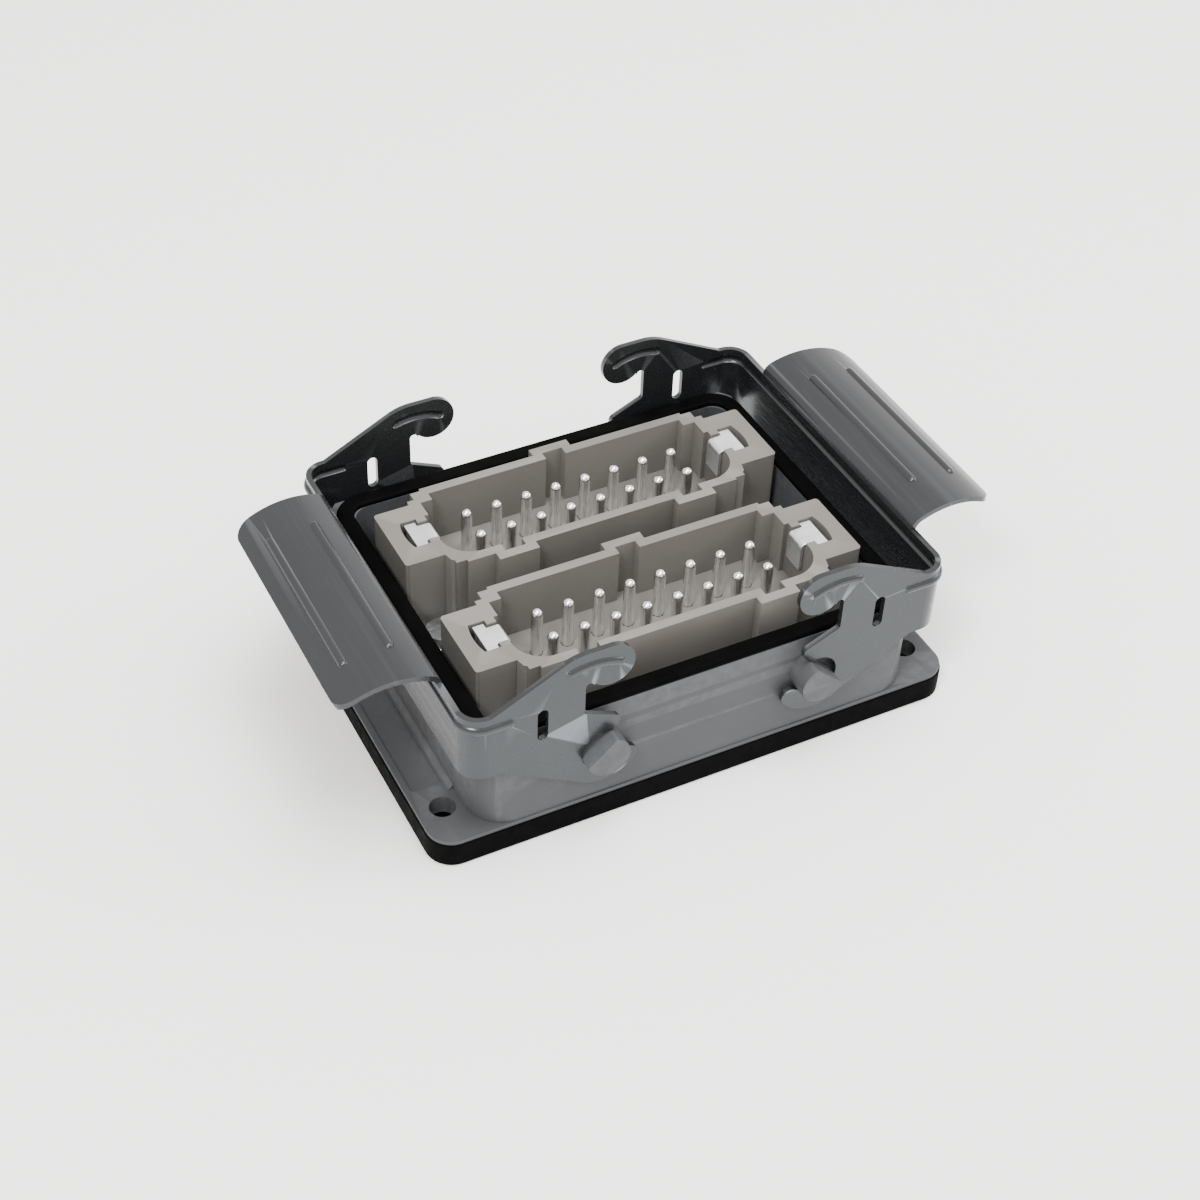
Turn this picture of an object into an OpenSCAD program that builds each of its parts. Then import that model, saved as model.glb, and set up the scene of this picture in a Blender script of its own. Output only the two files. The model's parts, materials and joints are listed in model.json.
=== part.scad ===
// Bulkhead base of a heavy duty rectangular connector: a die-cast housing with two stamped
// locking levers, carrying two sixteen-pin male inserts side by side.
// +X runs along the long side, +Y to the back, +Z out of the panel. The origin is the middle
// of the gasket's underside, which lies on the panel.

/* [Inserts] */
// Length of an insert
insert_len = 89; // [80:0.2:98]
// Width of an insert's mounting flange
insert_flange_w = 34; // [31:0.2:37]
// Gap between the two inserts
insert_gap = 1; // [0.6:0.1:4]
// Gap between an insert's end and the housing
insert_end_gap = 1.6; // [1:0.1:3]
// Gap between an insert's long side and the housing
insert_side_gap = 1.8; // [1:0.1:3]
// Depth of the seats that the inserts are screwed to, below the metal rim
seat_depth = 17.1; // [15.5:0.1:17.6]
// Thickness of an insert's mounting flange
insert_flange_t = 3; // [2.4:0.1:4]
// Height of the shroud above the mounting flange
shroud_h = 19.8; // [17.8:0.1:21.8]
// Depth of an insert below its mounting flange
insert_under = 10.6; // [9.6:0.1:11]
// Distance of the fixing screws from an insert's ends
screw_inset_x = 5.75; // [5.2:0.05:6.3]
// Distance of the fixing screws from the long sides of the mounting flange
screw_inset_y = 3.5; // [3.1:0.1:4]
// Outer width of the shroud round the pins
shroud_w = 26.2; // [24:0.1:28]
// Thickness of the shroud's wall
shroud_t = 2.2; // [1.6:0.1:2.4]
// Depth of the hollow round the pins
hollow_depth = 13.3; // [12:0.1:14.6]
// Width of the solid block at each end of an insert
end_block_w = 18; // [16.2:0.1:19.6]
// Length of that block
end_block_len = 9.4; // [8.6:0.1:10.2]
// Outer width of a coding key, the step that bulges out of the shroud
key_w = 9.2; // [8.2:0.1:10.2]
// How far a coding key bulges out
key_out = 2.2; // [1.8:0.1:2.4]
// Distance from the middle of a front coding key to the end of the hollow
key_inset = 13.4; // [12:0.1:15]

/* [Contacts] */
// Number of pins in a row
pins_per_row = 8; // [2:1:8]
// Distance from a row's last pin to the end of the hollow
pin_inset = 9.6; // [8.6:0.1:10.6]
// Distance between the two rows of an insert
row_gap = 7.6; // [6.9:0.1:8.2]
// Diameter of a pin
pin_d = 2.5; // [2:0.1:3]
// Length of a pin above the floor it stands on
pin_len = 12; // [10.8:0.1:12.8]
// Thickness of that floor
floor_t = 2.5; // [2:0.1:3]
// Width and depth of the clamp block below a pin
clamp_w = 5; // [4.5:0.1:5.5]
// Height of the clamp block
clamp_h = 15; // [13.6:0.1:15.6]
// Diameter of the wire hole in the clamp block
wire_d = 3; // [2:0.1:3.4]
// Height of the clamp screws above the clamp blocks' lower ends
clamp_screw_up = 4.4; // [4:0.1:5]
// Head diameter of the clamp screws
clamp_head_d = 4.2; // [3.6:0.1:4.6]
// Shank diameter of the clamp screws
clamp_shank_d = 2.5; // [2:0.1:2.8]

/* [Housing] */
// Thickness of the collar's wall at its rim
rim_wall = 3.9; // [3.4:0.1:4.4]
// How far the collar's ends lean out from rim to foot
end_draft = 0.9; // [0.5:0.1:1.2]
// How far the collar's long sides lean out from rim to foot
side_draft = 1.9; // [1.2:0.1:2.2]
// Corner radius of the collar at its foot
collar_r = 8; // [7:0.5:10]
// Corner radius of the cavity that holds the inserts
cavity_r = 4; // [2:0.5:5]
// Height of the collar above the flange
collar_h = 22.4; // [20:0.1:24]
// How far the flange stands out past the collar's ends
flange_end = 9.6; // [8.6:0.1:12]
// How far the flange stands out past the collar's long sides
flange_side = 0.3; // [0.1:0.1:3]
// Corner radius of the flange
flange_r = 5.5; // [3:0.5:8]
// Thickness of the flange
flange_t = 4.5; // [4:0.1:6]
// Radius of the fillet where the collar's ends meet the flange
foot_r = 1.6; // [1:0.1:1.8]
// Distance of the panel holes from the flange's ends
panel_hole_inset_x = 5.5; // [5:0.1:6]
// Distance of the panel holes from the flange's long sides
panel_hole_inset_y = 9.9; // [8:0.1:12]
// Diameter of the panel fixing holes
panel_hole_d = 5.5; // [4.3:0.1:5.8]
// Depth of the plain field sunk into each end of the flange
field_depth = 0.4; // [0.2:0.1:0.8]

/* [Seals] */
// Thickness of the flange gasket under the flange
gasket_t = 2.2; // [1.5:0.1:3]
// How far the gasket's rim stays below the flange's top
gasket_lip = 0.9; // [0.6:0.1:1.5]
// Thickness of the gasket's rim
gasket_rim_t = 1.6; // [1.2:0.1:2]
// How far the gasket stands out past the flange
gasket_over = 0.3; // [0.1:0.1:0.6]
// Height of the rim seal above the metal rim
seal_h = 1.2; // [1:0.1:2]
// Width of the tongue that holds the rim seal in its groove
seal_tongue_w = 1.4; // [1:0.1:1.8]
// Depth of that tongue
seal_tongue_h = 2.5; // [1.5:0.1:4]

/* [Locking levers] */
// Thickness of the lever's sheet
sheet_t = 1.2; // [1:0.1:1.4]
// Clearance between an arm and the collar's foot
arm_gap = 0.1; // [0.1:0.1:1]
// Clearance between the crossbar and the collar's foot
bar_gap = 2.5; // [2.2:0.1:4]
// Radius of the bend between arm and crossbar, on the outside
corner_r = 5; // [4.4:0.1:7]
// Height of the crossbar
crossbar_h = 15.7; // [14:0.1:17.3]
// Height of the crossbar's upper edge above the pivot
crossbar_up = 18.8; // [18:0.1:20]
// Distance from the crossbar's outer face to the pivot
arm_len = 30; // [28:0.1:32]
// Depth of the pivot below the metal rim
pivot_drop = 8.6; // [8:0.1:9.4]
// Diameter of the cast pivot peg
peg_d = 9.4; // [8.6:0.1:10]
// Running clearance between the peg and the arm's eye, on the radius
peg_gap = 0.1; // [0.05:0.01:0.1]
// How far the peg stands out past the arm
peg_proud = 2.8; // [0.5:0.1:3.4]
// Distance from the peg's middle to its flat
peg_flat = 2.2; // [1.8:0.1:3]
// Width of the arm round its eye
eye_wall = 4.1; // [3.6:0.1:4.5]
// Radius of the hook's round nose
hook_r = 5; // [4.6:0.1:5.4]
// Width of the notch that takes the mating hood's peg
notch_w = 6.9; // [6.4:0.1:7.1]
// Length of the slot through the arm
arm_slot_len = 8; // [5:0.5:9]
// Width of the slot through the arm
arm_slot_w = 2.3; // [1.5:0.1:3]
// Width of the stiffening beads
bead_w = 2; // [1.6:0.1:2.4]
// Height of the stiffening beads
bead_h = 0.6; // [0.4:0.1:0.7]

/* [Lever handle] */
// How far the handle reaches out past the crossbar
handle_out = 20.2; // [18:0.2:23]
// Distance between the handle's root and the outer face of an arm
handle_inset = 12.9; // [11:0.1:15]
// How much the handle narrows on each side, from root to free edge
handle_taper = 1; // [0:0.1:4]
// Radius of the bend between crossbar and handle, on the outside
handle_bend_r = 3.2; // [2.6:0.1:4]
// Corner radius of the handle's free edge
handle_corner_r = 4; // [3:0.5:8]
// Distance between the ends of the handle's beads and its sides
handle_bead_inset = 9.5; // [7:0.1:14]

/* [Earth parts] */
// Thickness of the earth plates
earth_t = 1; // [0.8:0.1:1.2]
// Thickness of the earth clips
clip_t = 0.8; // [0.6:0.1:1]
// Width of the clip's head
clip_head_w = 7.8; // [7:0.1:8.4]
// Width of the clip's tongue
clip_tongue_w = 5.2; // [4.6:0.1:5.8]
// Distance of the earth terminal's tab from an insert's end
tab_inset = 3.5; // [3.1:0.1:3.9]
// Height of the earth terminal's screw below the inserts' seats
earth_screw_down = 4.4; // [4:0.1:4.8]

/* [Hidden] */
$fn = 64;
// cut: how far a cutting shape runs past the face it opens
cut = 1;
cast_grey = [0.50, 0.51, 0.52];
seal_black = [0.05, 0.05, 0.05];
steel_grey = [0.66, 0.68, 0.70];
resin_grey = [0.62, 0.60, 0.56];
pin_silver = [0.82, 0.82, 0.80];
screw_silver = [0.72, 0.73, 0.74];

insert_pitch = insert_flange_w + insert_gap;
insert_y = insert_pitch / 2;
cavity_len = insert_len + 2 * insert_end_gap;
cavity_w = insert_pitch + insert_flange_w + 2 * insert_side_gap;
rim_len = cavity_len + 2 * rim_wall;
rim_w = cavity_w + 2 * rim_wall;
collar_len = rim_len + 2 * end_draft;
collar_w = rim_w + 2 * side_draft;
flange_len = collar_len + 2 * flange_end;
flange_w = collar_w + 2 * flange_side;
panel_hole_len = flange_len - 2 * panel_hole_inset_x;
panel_hole_w = flange_w - 2 * panel_hole_inset_y;
rim_r = collar_r - end_draft;
mid_len = cavity_len + rim_wall;
mid_w = cavity_w + rim_wall;
mid_r = rim_r - rim_wall / 2;

flange_top = gasket_t + flange_t;
gasket_rim_h = flange_top - gasket_lip;
rim_top = flange_top + collar_h;
seal_top = rim_top + seal_h;
seat_z = rim_top - seat_depth;
shoulder_top = seat_z + insert_flange_t;
insert_low = seat_z - insert_under;
insert_top = shoulder_top + shroud_h;
floor_z = insert_top - hollow_depth;
pin_top = floor_z + pin_len;
clamp_top = floor_z - floor_t;
clamp_low = clamp_top - clamp_h;
clamp_screw_z = clamp_low + clamp_screw_up;
screw_len = insert_len - 2 * screw_inset_x;
screw_w = insert_flange_w - 2 * screw_inset_y;

lever_w = collar_w + 2 * (arm_gap + sheet_t);
crossbar_x = collar_len / 2 + bar_gap + sheet_t;
pivot_x = crossbar_x - arm_len;
pivot_z = rim_top - pivot_drop;
pivot = [pivot_x, pivot_z];
crossbar_top = pivot_z + crossbar_up;
crossbar_low = crossbar_top - crossbar_h;
fit = 0.05;

// ---------------------------------------------------------------- plan shapes and helpers

// Rounded rectangle about the origin.
module plate_2d(len, wid, r) {
    square([len - 2 * r, wid], center = true);
    square([len, wid - 2 * r], center = true);
    for (sx = [-1, 1], sy = [-1, 1])
        translate([sx * (len / 2 - r), sy * (wid / 2 - r)])
            circle(r);
}

module plate(len, wid, r, h) {
    linear_extrude(h)
        plate_2d(len, wid, r);
}

// Carries the profile given as child round a rounded rectangle. The profile's x runs outward
// from the path and its y upward.
module ring_sweep(len, wid, r) {
    for (turn = [0, 180])
        rotate(turn) {
            translate([len / 2, wid / 2 - r, 0])
                rotate([90, 0, 0])
                    linear_extrude(wid - 2 * r)
                        children();
            translate([-len / 2 + r, wid / 2, 0])
                rotate([90, 0, 90])
                    linear_extrude(len - 2 * r)
                        children();
        }
    for (sx = [-1, 1], sy = [-1, 1])
        translate([sx * (len / 2 - r), sy * (wid / 2 - r), 0])
            rotate(sx > 0 ? (sy > 0 ? 0 : -90) : (sy > 0 ? 90 : 180))
                rotate_extrude(angle = 90)
                    translate([r, 0])
                        children();
}

// Points along an arc, from the first angle to the last.
function arc(centre, r, from, to, steps = 12) =
    [for (i = [0:steps])
        let (a = from + (to - from) * i / steps)
        centre + r * [cos(a), sin(a)]];

// Stands an outline drawn in x and z up in the xz plane, from the depth y and towards +y.
module upright(y, depth) {
    translate([0, y + depth, 0])
        rotate([90, 0, 0])
            linear_extrude(depth)
                children();
}

module at_screws(y) {
    for (sx = [-1, 1], sy = [-1, 1])
        translate([sx * screw_len / 2, y + sy * screw_w / 2, 0])
            children();
}

module at_panel_holes() {
    for (sx = [-1, 1], sy = [-1, 1])
        translate([sx * panel_hole_len / 2, sy * panel_hole_w / 2, 0])
            children();
}

// ---------------------------------------------------------------- housing

seat_thread_d = 3.3;
seat_post_w = 10.4;
seat_low = gasket_t;
seat_reach = (cavity_len - screw_len + seat_post_w) / 2 + cut;

// The collar stands with a draft: the foot's outline cut back by slanted planes.
module collar_block() {
    intersection() {
        translate([0, 0, gasket_rim_h])
            plate(collar_len, collar_w, collar_r, rim_top - gasket_rim_h);
        upright(-flange_w, 2 * flange_w)
            draft_2d(collar_len, rim_len);
        rotate(90)
            upright(-flange_len, 2 * flange_len)
                draft_2d(collar_w, rim_w);
    }
}

module draft_2d(foot, rim) {
    polygon([
        [-foot / 2, 0], [foot / 2, 0], [foot / 2, flange_top],
        [rim / 2, rim_top + cut], [-rim / 2, rim_top + cut], [-foot / 2, flange_top]
    ]);
}

module flange_block() {
    under_len = flange_len + 2 * gasket_over - 2 * gasket_rim_t;
    under_w = flange_w + 2 * gasket_over - 2 * gasket_rim_t;
    under_r = flange_r + gasket_over - gasket_rim_t;
    translate([0, 0, gasket_t])
        plate(under_len, under_w, under_r, gasket_rim_h - gasket_t);
    translate([0, 0, gasket_rim_h])
        plate(flange_len, flange_w, flange_r, flange_top - gasket_rim_h);
}

// A quarter-round fillet along the foot of each end of the collar.
module foot_fillets() {
    run = panel_hole_w - panel_hole_d - 2;
    for (turn = [0, 180])
        rotate(turn)
            translate([collar_len / 2, 0, flange_top])
                upright(-run / 2, run)
                    difference() {
                        translate([-cut, -cut])
                            square(foot_r + cut);
                        translate([foot_r, foot_r])
                            circle(foot_r);
                    }
}

// Posts on the end walls carry the inserts' fixing screws: one in each corner, and a wide one
// in the middle of each end that two screws share.
module screw_seats() {
    inner_edge = insert_y + screw_w / 2 - seat_post_w / 2;
    corner_span = cavity_w / 2 + cut - inner_edge;
    for (sx = [-1, 1])
        translate([sx * (cavity_len + 2 * cut - seat_reach) / 2, 0, (seat_low + seat_z) / 2]) {
            cube(
                [seat_reach, insert_pitch - screw_w + seat_post_w, seat_z - seat_low],
                center = true
            );
            for (sy = [-1, 1])
                translate([0, sy * (inner_edge + corner_span / 2), 0])
                    cube([seat_reach, corner_span, seat_z - seat_low], center = true);
        }
}

peg_flat_turn = 47;

// The pivot peg is cast on the wall. Its flat faces up and outward.
module pivot_peg() {
    root = rim_w / 2 - cut;
    tip = lever_w / 2 + peg_proud;
    upright(-tip, tip - root)
        translate(pivot)
            difference() {
                circle(d = peg_d);
                rotate(peg_flat_turn)
                    translate([peg_flat, -peg_d])
                        square(2 * peg_d);
            }
}

module four_ways() {
    for (sx = [0, 1], sy = [0, 1])
        mirror([sx, 0, 0])
            mirror([0, sy, 0])
                children();
}

module housing() {
    field_len = panel_hole_w - 2 * panel_hole_d - 1;
    field_w = flange_end - foot_r - 1.4;
    field_x = collar_len / 2 + foot_r + field_w / 2;
    color(cast_grey)
    difference() {
        union() {
            difference() {
                union() {
                    flange_block();
                    collar_block();
                    foot_fillets();
                }
                translate([0, 0, gasket_t - cut])
                    plate(cavity_len, cavity_w, cavity_r, rim_top - gasket_t + 2 * cut);
            }
            intersection() {
                screw_seats();
                plate(collar_len - 2, collar_w - 2, collar_r - 1, rim_top);
            }
            four_ways()
                pivot_peg();
        }
        translate([0, 0, rim_top - seal_tongue_h])
            ring_sweep(mid_len, mid_w, mid_r)
                translate([-seal_tongue_w / 2, 0])
                    square([seal_tongue_w, seal_tongue_h + cut]);
        at_panel_holes()
            cylinder(d = panel_hole_d, h = 2 * flange_top, center = true);
        for (sy = [-1, 1])
            at_screws(sy * insert_y)
                translate([0, 0, seat_low - cut])
                    cylinder(d = seat_thread_d, h = seat_z - seat_low + 2 * cut);
        for (sx = [-1, 1])
            translate([sx * field_x, 0, flange_top - field_depth])
                plate(field_w, field_len, 1, field_depth + cut);
    }
}

// ---------------------------------------------------------------- seals

module flange_gasket() {
    out_len = flange_len + 2 * gasket_over;
    out_w = flange_w + 2 * gasket_over;
    out_r = flange_r + gasket_over;
    color(seal_black)
    difference() {
        plate(out_len, out_w, out_r, gasket_rim_h);
        translate([0, 0, gasket_t])
            plate(
                out_len - 2 * gasket_rim_t, out_w - 2 * gasket_rim_t, out_r - gasket_rim_t,
                gasket_rim_h
            );
        translate([0, 0, -cut])
            plate(cavity_len, cavity_w, cavity_r, gasket_t + 2 * cut);
        at_panel_holes()
            cylinder(d = panel_hole_d, h = 3 * gasket_t, center = true);
    }
}

// The seal caps the whole rim and is held by a tongue in a groove. Its crown is rounded.
module rim_seal() {
    crown_r = 0.8;
    color(seal_black)
    ring_sweep(mid_len, mid_w, mid_r) {
        translate([-seal_tongue_w / 2, rim_top - seal_tongue_h])
            square([seal_tongue_w, seal_tongue_h + fit]);
        translate([-rim_wall / 2, rim_top])
            square([rim_wall, seal_h - crown_r]);
        translate([crown_r - rim_wall / 2, rim_top])
            square([rim_wall - 2 * crown_r, seal_h]);
        for (side = [-1, 1])
            translate([side * (rim_wall / 2 - crown_r), seal_top - crown_r])
                intersection() {
                    circle(crown_r);
                    translate([-crown_r, 0])
                        square([2 * crown_r, crown_r]);
                }
    }
}

// ---------------------------------------------------------------- locking levers

eye_r = peg_d / 2 + peg_gap;
// The eye is open towards the middle of the housing, between these two angles.
eye_open_from = 111;
eye_open_to = 211;
foot_nose_r = 2.1;
foot_nose = pivot + [-5.7, -3.8];
lip_nose_r = 1.6;
lip_nose = pivot + [-2, 7.1];
notch_back = pivot_x + 4.4;
notch_low = pivot_z + 11.4;
hook = [pivot_x - 1.2, notch_low + notch_w - 0.6 + hook_r];
brow_r = 12;
brow = [hook[0] + 5.1, hook[1] + hook_r - brow_r];

// Outline of an arm seen from its side: foot and eye below, then the lip, the notch for the
// mating peg, the hook and the long edges that run out to the crossbar.
function arm_outline() = concat(
    arc(pivot, eye_r + eye_wall, -52, -132),
    arc(foot_nose, foot_nose_r, -128, -278),
    arc(pivot, eye_r, eye_open_to, eye_open_from + 360, 40),
    arc(lip_nose, lip_nose_r, 215, 118),
    arc([notch_back - 0.9, notch_low + 0.9], 0.9, -64, 0, 5),
    arc([notch_back - 0.9, notch_low + notch_w + 0.5], 0.9, 0, 180, 10),
    arc(hook, hook_r, -44, -270, 30),
    arc(brow, brow_r, 90, 63),
    [[crossbar_x - corner_r - 0.6, crossbar_top], [crossbar_x + cut, crossbar_top],
     [crossbar_x + cut, crossbar_low], [crossbar_x - corner_r - 2.6, crossbar_low]]
);

// The sheet's run seen from above: two arms and a crossbar joined by bent corners.
module u_2d(grow = 0) {
    half = lever_w / 2 + grow;
    bar = crossbar_x + grow;
    r = corner_r + grow;
    square([2 * (bar - r), 2 * half], center = true);
    square([2 * bar, 2 * (half - r)], center = true);
    for (sy = [-1, 1])
        translate([bar - r, sy * (half - r)])
            circle(r);
}

module u_wall(outer, inner, low, high) {
    translate([0, 0, low])
        linear_extrude(high - low)
            difference() {
                u_2d(outer);
                u_2d(inner);
            }
}

// A bead is a rod sunk into the sheet until only its crown stands out. A groove is the same
// rod on the sheet's other face.
bead_r = (bead_w * bead_w / 4 + bead_h * bead_h) / (2 * bead_h);
bead_sink = bead_r - bead_h;
groove_sink = bead_sink + sheet_t;
bead_z = crossbar_top - 2.7;
bead_start = crossbar_x - corner_r - 4.6;

// The rod of the long bead: it starts on one arm, follows the crossbar and ends on the other
// arm, at the given depth below the sheet's outer face.
module bar_rod(depth) {
    half = lever_w / 2 - depth;
    bend = corner_r - depth;
    for (sy = [-1, 1]) {
        translate([bead_start, sy * half, bead_z]) {
            sphere(bead_r);
            rotate([0, 90, 0])
                cylinder(r = bead_r, h = crossbar_x - corner_r - bead_start);
        }
        translate([crossbar_x - corner_r, sy * (lever_w / 2 - corner_r), bead_z])
            rotate(sy > 0 ? 0 : -90)
                rotate_extrude(angle = 90)
                    translate([bend, 0])
                        circle(bead_r);
    }
    translate([crossbar_x - depth, corner_r - lever_w / 2, bead_z])
        rotate([-90, 0, 0])
            cylinder(r = bead_r, h = lever_w - 2 * corner_r);
}

// The rod of the short bent bead in a hook.
module hook_rod(depth) {
    run_r = 14;
    from = 72;
    to = 116;
    translate([hook[0] + 4.4, depth - lever_w / 2, hook[1] - 12.2]) {
        rotate([90, 0, 0])
            rotate(from)
                rotate_extrude(angle = to - from)
                    translate([run_r, 0])
                        circle(bead_r);
        for (a = [from, to])
            translate([run_r * cos(a), 0, run_r * sin(a)])
                sphere(bead_r);
    }
}

handle_root_w = lever_w - 2 * handle_inset;
handle_edge_w = handle_root_w - 2 * handle_taper;
handle_bead_len = handle_root_w - 2 * handle_bead_inset;
handle_reach = crossbar_x + handle_out;
// The handle leaves its bend at the first angle and ends at the second one.
handle_from = 111.3;
handle_to = 54;
handle_bend = [crossbar_x - sheet_t + handle_bend_r, crossbar_top - 0.4];
handle_r = (handle_reach - handle_bend[0] - handle_bend_r * cos(handle_from))
    / (cos(handle_to) - cos(handle_from));
handle_mid = handle_bend
    - (handle_r - handle_bend_r) * [cos(handle_from), sin(handle_from)];
handle_bead_angles = [98, 70];

// Section of the handle: a tight bend off the crossbar, then a wide arch.
function handle_outline() = concat(
    [[crossbar_x - sheet_t, crossbar_top - 2]],
    arc(handle_bend, handle_bend_r, 180, handle_from, 8),
    arc(handle_mid, handle_r, handle_from, handle_to, 24),
    arc(handle_mid, handle_r - sheet_t, handle_to, handle_from, 24),
    arc(handle_bend, handle_bend_r - sheet_t, handle_from, 180, 8),
    [[crossbar_x, crossbar_top - 2]]
);

// Outline of the handle seen from above: it narrows outward and its free corners are round.
function handle_plan() =
    let (
        root = handle_root_w / 2,
        edge = handle_edge_w / 2,
        r = handle_corner_r
    )
    concat(
        [[crossbar_x - 2 * sheet_t, -root]],
        arc([handle_reach - r, r - edge], r, -88, 0, 8),
        arc([handle_reach - r, edge - r], r, 0, 88, 8),
        [[crossbar_x - 2 * sheet_t, root]]
    );

// The rods of the two beads along the handle.
module handle_rods(depth) {
    run = handle_bead_len - 2 * bead_r;
    r = handle_r - depth;
    for (a = handle_bead_angles)
        translate([handle_mid[0] + r * cos(a), -run / 2, handle_mid[1] + r * sin(a)]) {
            rotate([-90, 0, 0])
                cylinder(r = bead_r, h = run);
            for (end = [0, run])
                translate([0, end, 0])
                    sphere(bead_r);
        }
}

module handle() {
    difference() {
        union() {
            intersection() {
                upright(-handle_root_w, 2 * handle_root_w)
                    polygon(handle_outline());
                linear_extrude(2 * crossbar_top)
                    polygon(handle_plan());
            }
            difference() {
                handle_rods(bead_sink);
                upright(-handle_root_w, 2 * handle_root_w)
                    translate(handle_mid)
                        circle(handle_r - sheet_t / 2);
            }
        }
        handle_rods(groove_sink);
    }
}

module arm_slot_2d() {
    run = arm_slot_len - arm_slot_w;
    translate([pivot_x + 13.5, notch_low + 1.2]) {
        square([arm_slot_w, run], center = true);
        for (end = [-1, 1])
            translate([0, end * run / 2])
                circle(d = arm_slot_w);
    }
}

module lever() {
    color(steel_grey)
    difference() {
        union() {
            intersection() {
                u_wall(0, -sheet_t, 0, 2 * crossbar_top);
                upright(-lever_w, 2 * lever_w)
                    polygon(arm_outline());
            }
            difference() {
                union() {
                    bar_rod(bead_sink);
                    for (sy = [0, 1])
                        mirror([0, sy, 0])
                            hook_rod(bead_sink);
                }
                linear_extrude(2 * crossbar_top)
                    u_2d(-sheet_t / 2);
            }
            handle();
        }
        bar_rod(groove_sink);
        for (sy = [0, 1])
            mirror([0, sy, 0])
                hook_rod(groove_sink);
        upright(-lever_w, 2 * lever_w)
            arm_slot_2d();
    }
}

module lever_right() {
    lever();
}

module lever_left() {
    mirror([1, 0, 0])
        lever();
}

// ---------------------------------------------------------------- inserts

block_in = insert_len / 2 - end_block_len;
hollow_len = 2 * block_in - 1;
shroud_len = 2 * block_in - 6;
inner_w = shroud_w - 2 * shroud_t;
key_inner_w = key_w - 2 * shroud_t;
key_x = hollow_len / 2 - key_inset;
pin_pitch = (hollow_len - 2 * pin_inset) / (pins_per_row - 1);
pocket_gap = 0.2;
trough_len = (pins_per_row - 1) * pin_pitch + clamp_w + 2 * pocket_gap;
trough_w = clamp_w + 2 * pocket_gap;
clamp_screw_seat = row_gap / 2 + clamp_w / 2 + 1.2;
tab_x = insert_len / 2 - tab_inset;
tail_w = 15;
tail_len = 2 * (tab_x - earth_t - 0.1);

function pin_x(k) = (k - (pins_per_row - 1) / 2) * pin_pitch;

module at_pins(row) {
    for (k = [0:pins_per_row - 1])
        translate([pin_x(k), row * row_gap / 2, 0])
            children();
}

// One coding key in plan, at x along the wall that faces the given side.
module key_2d(x, side, wid, out, thick) {
    translate([x - wid / 2, side > 0 ? shroud_w / 2 - thick : -shroud_w / 2 - out])
        square([wid, thick + out]);
}

module keys_2d(wid, out, thick) {
    key_2d(0, 1, wid, out, thick);
    for (sx = [-1, 1])
        key_2d(sx * key_x, -1, wid, out, thick);
}

// Outer outline of the shroud: long walls, stepped shoulders at the back corners, swept
// corners at the front, and a block at each end.
module shroud_2d() {
    step = 0.7;
    square([shroud_len, shroud_w], center = true);
    square([shroud_len + 4.8, shroud_w - 2 * step], center = true);
    for (sx = [-1, 1])
        translate([sx * (block_in + end_block_len / 2), 0])
            plate_2d(end_block_len, end_block_w, 0.8);
    translate([-block_in - cut, 0])
        square([2 * (block_in + cut), end_block_w / 2 + 1.2]);
    square([2 * (block_in + cut), end_block_w - 1.6], center = true);
    for (sx = [-1, 1])
        polygon([
            [sx * (shroud_len / 2 - 1), -shroud_w / 2 + step],
            [sx * (shroud_len / 2 + 1.2), -shroud_w / 2 + step],
            [sx * (shroud_len / 2 + 3), -end_block_w / 2 - 2],
            [sx * (block_in + 0.8), -end_block_w / 2 + 1],
            [sx * (shroud_len / 2 - 1), -end_block_w / 2 + 1]
        ]);
    keys_2d(key_w, key_out, shroud_t);
}

// Outline of the hollow round the pins: rounded sweeps at the front corners and stepped
// corners at the back.
module hollow_2d() {
    sweep_r = 7;
    straight = hollow_len - 2 * 3.8;
    translate([-straight / 2, -inner_w / 2 + sweep_r])
        square([straight, inner_w - sweep_r]);
    translate([-hollow_len / 2, -inner_w / 2 + sweep_r])
        square([hollow_len, inner_w / 2 - sweep_r + 4.4]);
    translate([-hollow_len / 2 + 1, 0])
        square([hollow_len - 2, inner_w / 2 - 2.2]);
    translate([-hollow_len / 2 + sweep_r, -inner_w / 2])
        square([hollow_len - 2 * sweep_r, inner_w / 2]);
    for (sx = [-1, 1])
        translate([sx * (hollow_len / 2 - sweep_r), -inner_w / 2 + sweep_r])
            circle(sweep_r);
    keys_2d(key_inner_w, key_out - shroud_t, shroud_t + cut);
}

clip_head_x = block_in + 1.9;
clip_head_len = 2.6;
clip_back_x = clip_head_x + clip_head_len;
clip_top = insert_top - 0.5;

// The pocket that the earth clip stands in, with a bowed outer side, and the channel that its
// tongue crosses to reach the hollow.
module clip_pocket() {
    bow_r = 14;
    gap = 0.3;
    translate([0, 0, shoulder_top - cut])
        linear_extrude(insert_top) {
            translate([clip_head_x - gap, -clip_head_w / 2 - gap])
                square([clip_head_len + 2 * gap, clip_head_w + 2 * gap]);
            intersection() {
                translate([clip_back_x + 1.4 - bow_r, 0])
                    circle(bow_r, $fn = 128);
                translate([clip_head_x, -clip_head_w / 2 - gap])
                    square([4.4, clip_head_w + 2 * gap]);
            }
        }
    translate([hollow_len / 2 - cut, -clip_tongue_w / 2 - gap, clip_top - clip_t - gap])
        cube([clip_head_x - hollow_len / 2 + 2 * cut, clip_tongue_w + 2 * gap, insert_top]);
}

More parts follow.
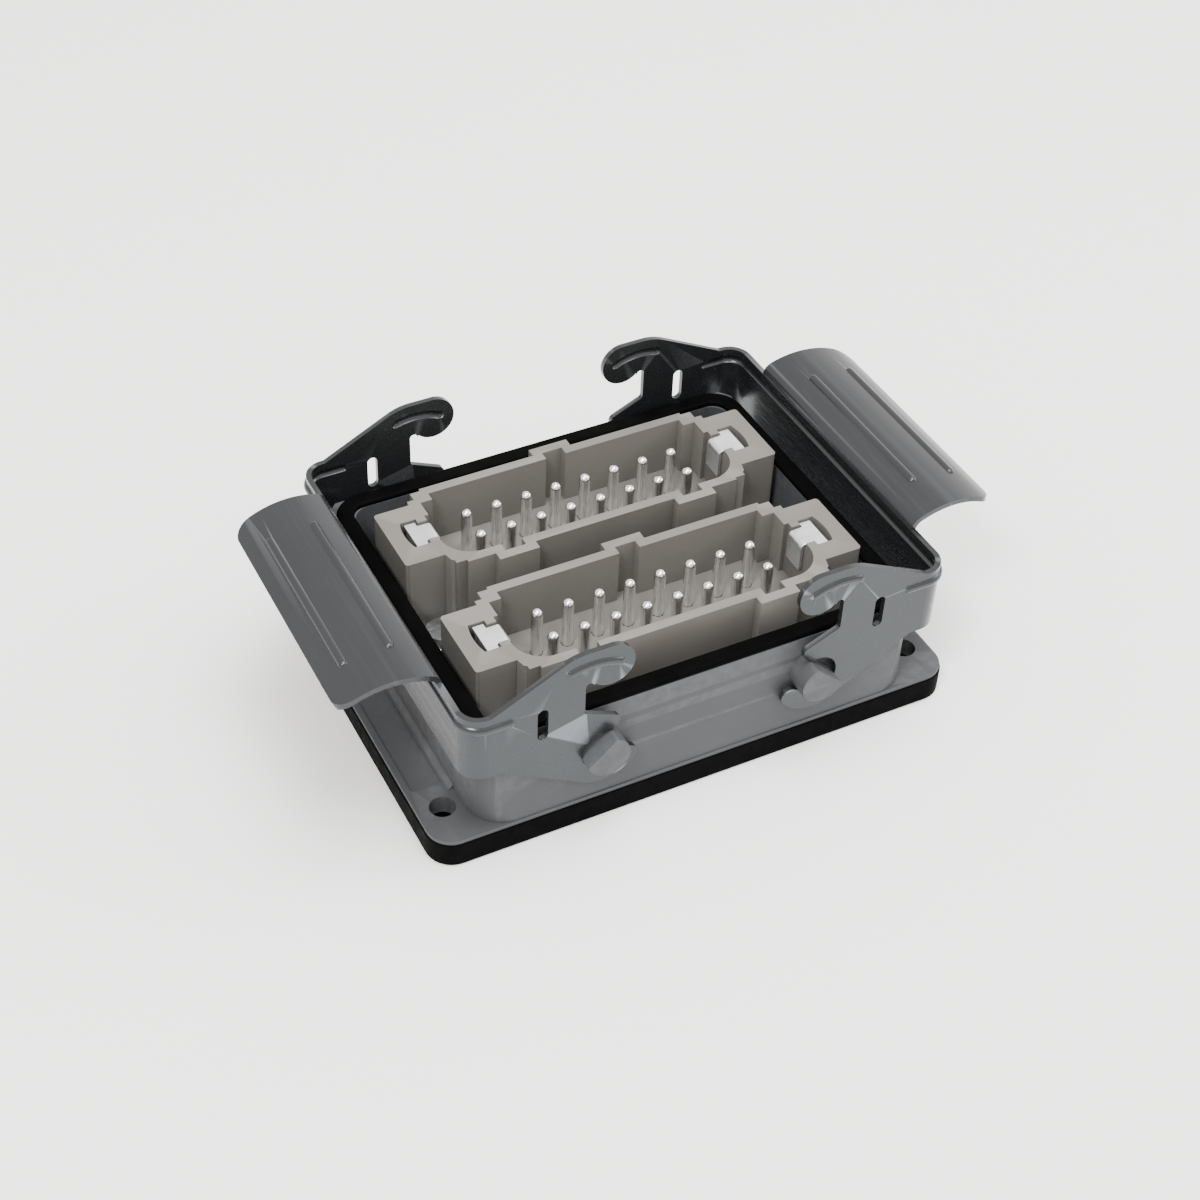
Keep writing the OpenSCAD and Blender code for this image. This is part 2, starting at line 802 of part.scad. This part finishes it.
// Everything that is cut out of one end of an insert.
module end_cuts() {
    gap = 0.1;
    clip_pocket();
    translate([block_in - cut, -insert_flange_w, shoulder_top])
        cube([earth_len + cut + gap, 2 * insert_flange_w, earth_t + gap]);
    translate([tab_x - earth_t - gap, -tab_w / 2 - gap, seat_z - cut])
        cube([earth_t + 2 * gap, tab_w + 2 * gap, insert_flange_t + 2 * cut]);
}

// The trough that a row's clamp blocks hang in, with a window in its outer wall through which
// their screws are reached.
module row_trough(row) {
    window_h = clamp_head_d + 2 * pocket_gap;
    translate([-trough_len / 2, row * row_gap / 2 - trough_w / 2, insert_low - cut])
        cube([trough_len, trough_w, clamp_top - insert_low + cut]);
    translate([-trough_len / 2, row > 0 ? row_gap / 2 : -shroud_w, clamp_screw_z - window_h / 2])
        cube([trough_len, shroud_w - row_gap / 2, window_h]);
}

// The way of a pin through the floor is an octagon that the pin just fits.
module pin_passage() {
    translate([0, 0, clamp_top - cut])
        rotate(180 / 8)
            cylinder(d = (pin_d + 2 * fit) / cos(180 / 8), h = floor_t + 2 * cut, $fn = 8);
}

// One insert, built about its own middle.
module insert_body() {
    color(resin_grey)
    difference() {
        union() {
            translate([0, 0, shoulder_top])
                linear_extrude(insert_top - shoulder_top)
                    shroud_2d();
            translate([0, 0, seat_z])
                plate(insert_len, insert_flange_w, 2, insert_flange_t);
            translate([0, 0, insert_low])
                plate(shroud_len, shroud_w, 1, shoulder_top - insert_low);
            translate([0, 0, insert_low])
                plate(tail_len, tail_w, 1, shoulder_top - insert_low);
        }
        translate([0, 0, floor_z])
            linear_extrude(insert_top)
                hollow_2d();
        for (row = [-1, 1]) {
            at_pins(row)
                pin_passage();
            row_trough(row);
        }
        at_screws(0)
            cylinder(d = fixing_d + 0.5, h = 2 * shoulder_top);
        for (turn = [0, 180])
            rotate(turn)
                end_cuts();
    }
}

module insert_front() {
    translate([0, -insert_y, 0])
        insert_body();
}

module insert_back() {
    translate([0, insert_y, 0])
        insert_body();
}

// ---------------------------------------------------------------- contacts

// A turned pin on a clamp block. The wire enters from below and the screw clamps it from the
// side.
module contact(side) {
    tip_r = pin_d / 2;
    wire_depth = clamp_h - 3;
    difference() {
        union() {
            translate([0, 0, clamp_top])
                cylinder(d = pin_d, h = pin_top - clamp_top - tip_r);
            translate([0, 0, pin_top - tip_r])
                intersection() {
                    sphere(tip_r);
                    cylinder(r = tip_r, h = tip_r);
                }
            translate([-clamp_w / 2, -clamp_w / 2, clamp_low])
                cube([clamp_w, clamp_w, clamp_h]);
        }
        translate([0, 0, clamp_low - cut])
            cylinder(d = wire_d, h = wire_depth + cut);
        translate([0, 0, clamp_screw_z])
            rotate([-90 * side, 0, 0])
                cylinder(d = clamp_shank_d + 2 * fit, h = clamp_w);
    }
}

module pins(y, row) {
    color(pin_silver)
    translate([0, y, 0])
        at_pins(row)
            contact(row);
}

// A slotted screw about the z axis with its head's underside at the origin.
module slotted_screw(head_d, head_h, shank_d, shank_len) {
    slot_w = head_d / 5;
    slot_h = head_h / 2;
    difference() {
        union() {
            cylinder(d = head_d, h = head_h);
            translate([0, 0, -shank_len])
                cylinder(d = shank_d, h = shank_len + head_h / 2);
        }
        translate([-head_d, -slot_w / 2, head_h - slot_h])
            cube([2 * head_d, slot_w, head_h]);
    }
}

clamp_shank_len = 2.8;
clamp_head_h = 2;

module clamp_screws(y, row) {
    color(screw_silver)
    translate([0, y, 0])
        for (k = [0:pins_per_row - 1])
            translate([pin_x(k), row * clamp_screw_seat, clamp_screw_z])
                rotate([-90 * row, 0, 0])
                    slotted_screw(clamp_head_d, clamp_head_h, clamp_shank_d, clamp_shank_len);
}

// ---------------------------------------------------------------- earth parts and fixings

fixing_d = 4;
fixing_head_d = 7;
fixing_head_h = 2.6;
earth_len = end_block_len - 2.2;
tab_w = 8.6;
earth_screw_d = 4;
earth_screw_z = seat_z - earth_screw_down;
tab_low = earth_screw_z - 4.2;

// Mirrors its child to the left end where the side is -1, and moves it to its insert.
module at_end(side, y) {
    translate([0, y, 0])
        rotate(side > 0 ? 0 : 180)
            children();
}

// A flat bar under both fixing screws, with a tab that reaches down to the earth terminal.
module earth_plate(side, y) {
    color(pin_silver)
    at_end(side, y)
        difference() {
            union() {
                translate([block_in, -insert_flange_w / 2 + 0.2, shoulder_top])
                    cube([earth_len, insert_flange_w - 0.4, earth_t]);
                translate([tab_x - earth_t, -tab_w / 2, tab_low])
                    cube([earth_t, tab_w, shoulder_top + earth_t - tab_low]);
            }
            for (sy = [-1, 1])
                translate([screw_len / 2, sy * screw_w / 2, shoulder_top - cut])
                    cylinder(d = fixing_d + 0.3, h = earth_t + 2 * cut);
            translate([tab_x - earth_t - cut, 0, earth_screw_z])
                rotate([0, 90, 0])
                    cylinder(d = earth_screw_d + 0.1, h = earth_t + 2 * cut);
        }
}

// The spring clip: a leg on the earth plate, a wide head across the pocket and a tongue that
// folds down inside the hollow, where the mating half touches it.
module earth_clip(side, y) {
    leg_low = shoulder_top + earth_t;
    leg_x = clip_back_x - clip_t;
    fold_x = hollow_len / 2 - 0.1;
    fold_low = clip_top - 7;
    bend = 1.2;
    color(pin_silver)
    at_end(side, y) {
        translate([leg_x, -clip_tongue_w / 2, leg_low])
            cube([clip_t, clip_tongue_w, clip_top - leg_low - clip_t / 2]);
        upright(-clip_head_w / 2, clip_head_w)
            translate([clip_head_x, clip_top - clip_t])
                square([clip_back_x - clip_head_x, clip_t]);
        upright(-clip_tongue_w / 2, clip_tongue_w) {
            translate([fold_x - clip_t + bend, clip_top - clip_t])
                square([clip_head_x - fold_x + clip_t - bend + fit, clip_t]);
            translate([fold_x - clip_t, fold_low])
                square([clip_t, clip_top - fold_low - bend]);
            intersection() {
                translate([fold_x - clip_t + bend, clip_top - bend])
                    difference() {
                        circle(bend);
                        circle(bend - clip_t);
                    }
                translate([fold_x - clip_t, clip_top - bend])
                    square(bend);
            }
        }
    }
}

module earth_screw(side, y) {
    color(screw_silver)
    at_end(side, y)
        translate([tab_x, 0, earth_screw_z])
            rotate([0, 90, 0])
                slotted_screw(7, 2.2, earth_screw_d, earth_t + 0.05);
}

module fixing_screws(y) {
    color(screw_silver)
    at_screws(y)
        translate([0, 0, shoulder_top + earth_t])
            slotted_screw(
                fixing_head_d, fixing_head_h, seat_thread_d - 2 * fit,
                insert_flange_t + earth_t + 8
            );
}

housing();
flange_gasket();
rim_seal();
lever_left();
lever_right();
insert_front();
insert_back();
pins(-insert_y, -1);  // pins_front_a
pins(-insert_y, 1);  // pins_front_b
pins(insert_y, -1);  // pins_back_a
pins(insert_y, 1);  // pins_back_b
clamp_screws(-insert_y, -1);  // clamp_screws_front_a
clamp_screws(-insert_y, 1);  // clamp_screws_front_b
clamp_screws(insert_y, -1);  // clamp_screws_back_a
clamp_screws(insert_y, 1);  // clamp_screws_back_b
earth_plate(-1, -insert_y);  // earth_plate_front_left
earth_plate(1, -insert_y);  // earth_plate_front_right
earth_plate(-1, insert_y);  // earth_plate_back_left
earth_plate(1, insert_y);  // earth_plate_back_right
earth_clip(-1, -insert_y);  // earth_clip_front_left
earth_clip(1, -insert_y);  // earth_clip_front_right
earth_clip(-1, insert_y);  // earth_clip_back_left
earth_clip(1, insert_y);  // earth_clip_back_right
earth_screw(-1, -insert_y);  // earth_screw_front_left
earth_screw(1, -insert_y);  // earth_screw_front_right
earth_screw(-1, insert_y);  // earth_screw_back_left
earth_screw(1, insert_y);  // earth_screw_back_right
fixing_screws(-insert_y);  // fixing_screws_front
fixing_screws(insert_y);  // fixing_screws_back
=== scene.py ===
import json
import math

import bpy
from mathutils import Matrix, Vector

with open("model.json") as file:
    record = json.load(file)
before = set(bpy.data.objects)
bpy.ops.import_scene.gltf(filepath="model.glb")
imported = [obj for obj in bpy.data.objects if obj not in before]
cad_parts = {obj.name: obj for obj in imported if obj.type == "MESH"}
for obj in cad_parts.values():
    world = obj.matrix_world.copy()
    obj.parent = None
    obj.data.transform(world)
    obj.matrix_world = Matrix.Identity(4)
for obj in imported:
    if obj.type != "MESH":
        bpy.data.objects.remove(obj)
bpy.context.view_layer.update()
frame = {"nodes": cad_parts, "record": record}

nodes = frame["nodes"]
MM = 0.001


# ---------------------------------------------------------------- camera

CAMERA_AZIMUTH = math.radians(-25.07)
CAMERA_ELEVATION = math.radians(42.37)
CAMERA_DISTANCE = 428.99 * MM
CAMERA_TARGET = Vector((-30.61, -7.84, 33.5)) * MM
SENSOR_WIDTH = 36.0
FOCAL_LENGTH = 62.76
# The view is shifted sideways by this share of its width, to frame the part as the photo does.
SHIFT_X = 1.0 / 12.0


def make_camera():
    """A camera at the photo's viewing angle, upright, looking at its target."""
    back = Vector((
        math.sin(CAMERA_AZIMUTH) * math.cos(CAMERA_ELEVATION),
        -math.cos(CAMERA_AZIMUTH) * math.cos(CAMERA_ELEVATION),
        math.sin(CAMERA_ELEVATION),
    ))
    right = Vector((math.cos(CAMERA_AZIMUTH), math.sin(CAMERA_AZIMUTH), 0.0))
    up = back.cross(right)
    place = CAMERA_TARGET + back * CAMERA_DISTANCE
    data = bpy.data.cameras.new("camera")
    data.sensor_width = SENSOR_WIDTH
    data.lens = FOCAL_LENGTH
    data.shift_x = SHIFT_X
    data.clip_start = 0.01
    data.clip_end = 10.0
    cam = bpy.data.objects.new("camera", data)
    cam.matrix_world = Matrix((
        (right.x, up.x, back.x, place.x),
        (right.y, up.y, back.y, place.y),
        (right.z, up.z, back.z, place.z),
        (0.0, 0.0, 0.0, 1.0),
    ))
    bpy.context.scene.collection.objects.link(cam)
    bpy.context.scene.camera = cam


make_camera()


# ---------------------------------------------------------------- materials

def shade(colour, k):
    """A darker or lighter version of a colour."""
    return tuple(c * k for c in colour)


class Mat:
    """Builds a node material one step at a time."""

    def __init__(self, name, colour, metallic=0.0, roughness=0.5, specular=0.5):
        self.mat = bpy.data.materials.new(name)
        self.mat.use_nodes = True
        self.tree = self.mat.node_tree
        self.nodes = self.tree.nodes
        self.bsdf = self.nodes["Principled BSDF"]
        self.bsdf.inputs["Base Color"].default_value = (*colour, 1.0)
        self.bsdf.inputs["Metallic"].default_value = metallic
        self.bsdf.inputs["Roughness"].default_value = roughness
        self.bsdf.inputs["Specular IOR Level"].default_value = specular
        self.coord = self.nodes.new("ShaderNodeTexCoord")
        self.normal = None

    def link(self, a, b):
        self.tree.links.new(a, b)

    def noise(self, size, detail=4.0, stretch=(1, 1, 1)):
        """Noise in the solid's own coordinates. Size is in repeats per metre."""
        place = self.nodes.new("ShaderNodeMapping")
        place.inputs["Scale"].default_value = stretch
        self.link(self.coord.outputs["Object"], place.inputs["Vector"])
        n = self.nodes.new("ShaderNodeTexNoise")
        n.inputs["Scale"].default_value = size
        n.inputs["Detail"].default_value = detail
        n.inputs["Roughness"].default_value = 0.5
        self.link(place.outputs["Vector"], n.inputs["Vector"])
        return n.outputs["Fac"]

    def spread(self, value, low, high, from_low, from_high):
        """Stretches the range from_low to from_high over low to high."""
        r = self.nodes.new("ShaderNodeMapRange")
        r.inputs["From Min"].default_value = from_low
        r.inputs["From Max"].default_value = from_high
        r.inputs["To Min"].default_value = low
        r.inputs["To Max"].default_value = high
        self.link(value, r.inputs["Value"])
        return r.outputs["Result"]

    def patches(self, size, low=0.0, high=1.0, **noise):
        """A value that drifts between low and high over the surface."""
        return self.spread(self.noise(size, **noise), low, high, 0.3, 0.7)

    def edges(self, low, high):
        """0 below the low pointiness, as on flat faces, to 1 at the high one, on convex edges."""
        geometry = self.nodes.new("ShaderNodeNewGeometry")
        return self.spread(geometry.outputs["Pointiness"], 0.0, 1.0, low, high)

    def mix(self, fac, a, b):
        """Blends two colours. Each may be a colour or a node's output."""
        m = self.nodes.new("ShaderNodeMix")
        m.data_type = "RGBA"
        self.link(fac, m.inputs[0])
        for value, socket in ((a, m.inputs[6]), (b, m.inputs[7])):
            if isinstance(value, tuple):
                socket.default_value = (*value, 1.0)
            else:
                self.link(value, socket)
        return m.outputs[2]

    def mottle(self, size, colour, low, high, **noise):
        """A colour that drifts between a darker and a lighter version of itself."""
        return self.mix(self.patches(size, **noise), shade(colour, low), shade(colour, high))

    def times(self, a, b):
        m = self.nodes.new("ShaderNodeMath")
        m.operation = "MULTIPLY"
        self.link(a, m.inputs[0])
        self.link(b, m.inputs[1])
        return m.outputs[0]

    def bump(self, height, strength, distance):
        """Adds relief on top of what is there. Distance is in metres."""
        b = self.nodes.new("ShaderNodeBump")
        b.inputs["Strength"].default_value = strength
        b.inputs["Distance"].default_value = distance
        self.link(height, b.inputs["Height"])
        if self.normal is not None:
            self.link(self.normal, b.inputs["Normal"])
        self.normal = b.outputs["Normal"]
        self.link(self.normal, self.bsdf.inputs["Normal"])

    def to(self, value, socket):
        self.link(value, self.bsdf.inputs[socket])


def cast_paint():
    """Powder coat on a die casting: an even satin with a fine orange peel, lighter on its convex
    edges in patches, partly as wear and partly as a painted highlight.
    """
    grey = (0.054, 0.057, 0.061)
    m = Mat("cast_paint", grey, roughness=0.45, specular=0.15)
    body = m.mottle(38, grey, 0.93, 1.07, detail=5)
    # Convex edges lighter in patches: partly wear, partly a painted highlight.
    edge_wear_and_highlight = m.times(m.edges(0.52, 0.62), m.patches(420, 0.2, 1.0, detail=3))
    m.to(m.mix(edge_wear_and_highlight, body, shade(grey, 1.45)), "Base Color")
    m.to(m.patches(300, 0.38, 0.52, detail=3), "Roughness")
    m.bump(m.noise(750, detail=3), 0.2, 0.12 * MM)
    m.bump(m.noise(2600, detail=2), 0.12, 0.04 * MM)
    return m.mat


def seal_rubber():
    """Black moulded rubber."""
    black = (0.0012, 0.0012, 0.0012)
    m = Mat("seal_rubber", black, roughness=0.62, specular=0.02)
    m.to(m.mottle(140, black, 0.7, 1.5), "Base Color")
    m.to(m.patches(420, 0.55, 0.72), "Roughness")
    m.bump(m.noise(1700, detail=2), 0.2, 0.06 * MM)
    return m.mat


def lever_steel():
    """Rolled stainless sheet, darkened to stand for reflections of dark surroundings (painted
    reflection), with a fine grain along the roll and a painted highlight on its edges.
    """
    # This dark colour stands in for reflections of dark surroundings: a painted reflection.
    steel = (0.05, 0.0545, 0.0585)
    m = Mat("lever_steel", steel, metallic=0.78, roughness=0.25, specular=0.3)
    body = m.mottle(45, steel, 0.95, 1.04)
    # Convex edges three times lighter: a painted highlight.
    m.to(m.mix(m.edges(0.55, 0.66), body, shade(steel, 3.0)), "Base Color")
    m.to(m.patches(700, 0.2, 0.31, detail=3, stretch=(1.0, 0.05, 1.0)), "Roughness")
    m.bump(m.noise(1400, detail=2, stretch=(1.0, 0.04, 1.0)), 0.03, 0.03 * MM)
    return m.mat


def insert_resin():
    """Glass-filled moulded resin."""
    resin = (0.122, 0.116, 0.106)
    m = Mat("insert_resin", resin, roughness=0.5, specular=0.4)
    body = m.mottle(70, resin, 0.95, 1.05, detail=5)
    # Convex edges a quarter lighter: a painted highlight.
    m.to(m.mix(m.edges(0.53, 0.64), body, shade(resin, 1.25)), "Base Color")
    m.to(m.patches(320, 0.42, 0.58), "Roughness")
    m.bump(m.noise(1200, detail=3), 0.14, 0.06 * MM)
    return m.mat


def contact_silver():
    """Silver plating, a little tarnished in patches."""
    silver = (0.88, 0.88, 0.87)
    m = Mat("contact_silver", silver, metallic=1.0, roughness=0.2)
    m.to(m.mottle(420, silver, 0.82, 1.0, detail=3), "Base Color")
    m.to(m.patches(650, 0.14, 0.27, stretch=(1, 1, 5)), "Roughness")
    return m.mat


def earth_steel():
    """Bright plated spring steel."""
    bright = (0.8, 0.84, 0.87)
    m = Mat("earth_steel", bright, metallic=1.0, roughness=0.35)
    m.to(m.mottle(240, bright, 0.85, 1.0, detail=3), "Base Color")
    m.to(m.patches(850, 0.3, 0.42, stretch=(0.1, 1, 1)), "Roughness")
    return m.mat


def screw_steel():
    """Zinc plating."""
    zinc = (0.5, 0.51, 0.52)
    m = Mat("screw_steel", zinc, metallic=1.0, roughness=0.32)
    m.to(m.mottle(380, zinc, 0.8, 1.0), "Base Color")
    m.to(m.patches(600, 0.26, 0.42), "Roughness")
    return m.mat


# ---------------------------------------------------------------- dressing the solids

# Each material slot's finish, and the rounding on its solids' edges in millimetres.
SLOTS = {
    "cast_housing": (cast_paint, 0.6),
    "seal": (seal_rubber, 0.3),
    "lever_steel": (lever_steel, 0.2),
    "insert_resin": (insert_resin, 0.22),
    "contact_silver": (contact_silver, 0.12),
    "earth_steel": (earth_steel, 0.15),
    "screw_steel": (screw_steel, 0.15),
}
# Corners of a mesh that lie closer than this, in millimetres, are joined before the rounding.
WELD_WITHIN = 0.002
# Edges that turn by less than this are left as they are.
SHARP_ANGLE = math.radians(30)

finishes = {slot: make() for slot, (make, _) in SLOTS.items()}
slot_of = {s["node"]: s["material_slot"] for s in frame["record"]["subparts"]}


def dress(name, obj):
    """Gives a solid its finish, rounds its edges and keeps its flat faces flat."""
    slot = slot_of[name]
    obj.data.materials.clear()
    obj.data.materials.append(finishes[slot])
    for face in obj.data.polygons:
        face.material_index = 0
    weld = obj.modifiers.new("weld", "WELD")
    weld.merge_threshold = WELD_WITHIN * MM
    bevel = obj.modifiers.new("bevel", "BEVEL")
    bevel.width = SLOTS[slot][1] * MM
    bevel.segments = 2
    bevel.limit_method = "ANGLE"
    bevel.angle_limit = SHARP_ANGLE
    bevel.use_clamp_overlap = True
    normals = obj.modifiers.new("normals", "WEIGHTED_NORMAL")
    normals.mode = "FACE_AREA"
    normals.weight = 100
    normals.keep_sharp = True


for node_name, node_obj in nodes.items():
    dress(node_name, node_obj)


# ---------------------------------------------------------------- floor and light

FLOOR_SIZE = 6.0
FLOOR_DROP = 0.2 * MM
WHITE = (1.0, 1.0, 1.0)
COOL_WHITE = (0.97, 1.0, 1.0)
WARM_SKY = (1.0, 0.93, 0.88)
SKY_STRENGTH = 1.65

# Each soft box's place in metres, its width and height, its watts and its colour.
SOFT_BOXES = {
    "key": ((-0.75, -0.5, 1.2), (0.3, 0.25), 16.0, COOL_WHITE),
    "top": ((0.15, -0.1, 1.3), (0.9, 0.7), 24.0, COOL_WHITE),
    "side": ((1.1, -0.2, 0.6), (0.5, 0.4), 6.0, WHITE),
    "back": ((1.0, 0.85, 0.48), (1.2, 0.8), 2.5, WHITE),
}


def make_floor():
    """Plain pale paper, just under the part."""
    bpy.ops.mesh.primitive_plane_add(size=FLOOR_SIZE, location=(0, 0, -FLOOR_DROP))
    floor = bpy.context.object
    floor.name = "floor"
    m = Mat("floor_paper", (0.95, 0.95, 0.95), roughness=0.95, specular=0.1)
    m.bump(m.noise(60), 0.02, 0.5 * MM)
    floor.data.materials.append(m.mat)


def soft_box(name, place, size, watts, colour):
    """An area light that faces the middle of the part."""
    data = bpy.data.lights.new(name, "AREA")
    data.shape = "RECTANGLE"
    data.size, data.size_y = size
    data.energy = watts
    data.color = colour
    lamp = bpy.data.objects.new(name, data)
    lamp.location = place
    lamp.rotation_euler = (-Vector(place)).to_track_quat("-Z", "Y").to_euler()
    bpy.context.scene.collection.objects.link(lamp)


def make_world():
    """Even, slightly warm surroundings, which the bare metal reflects."""
    world = bpy.data.worlds.new("studio")
    bpy.context.scene.world = world
    world.use_nodes = True
    sky = world.node_tree.nodes["Background"]
    sky.inputs["Color"].default_value = (*WARM_SKY, 1.0)
    sky.inputs["Strength"].default_value = SKY_STRENGTH


make_floor()
for box_name, box in SOFT_BOXES.items():
    soft_box(box_name, *box)
make_world()
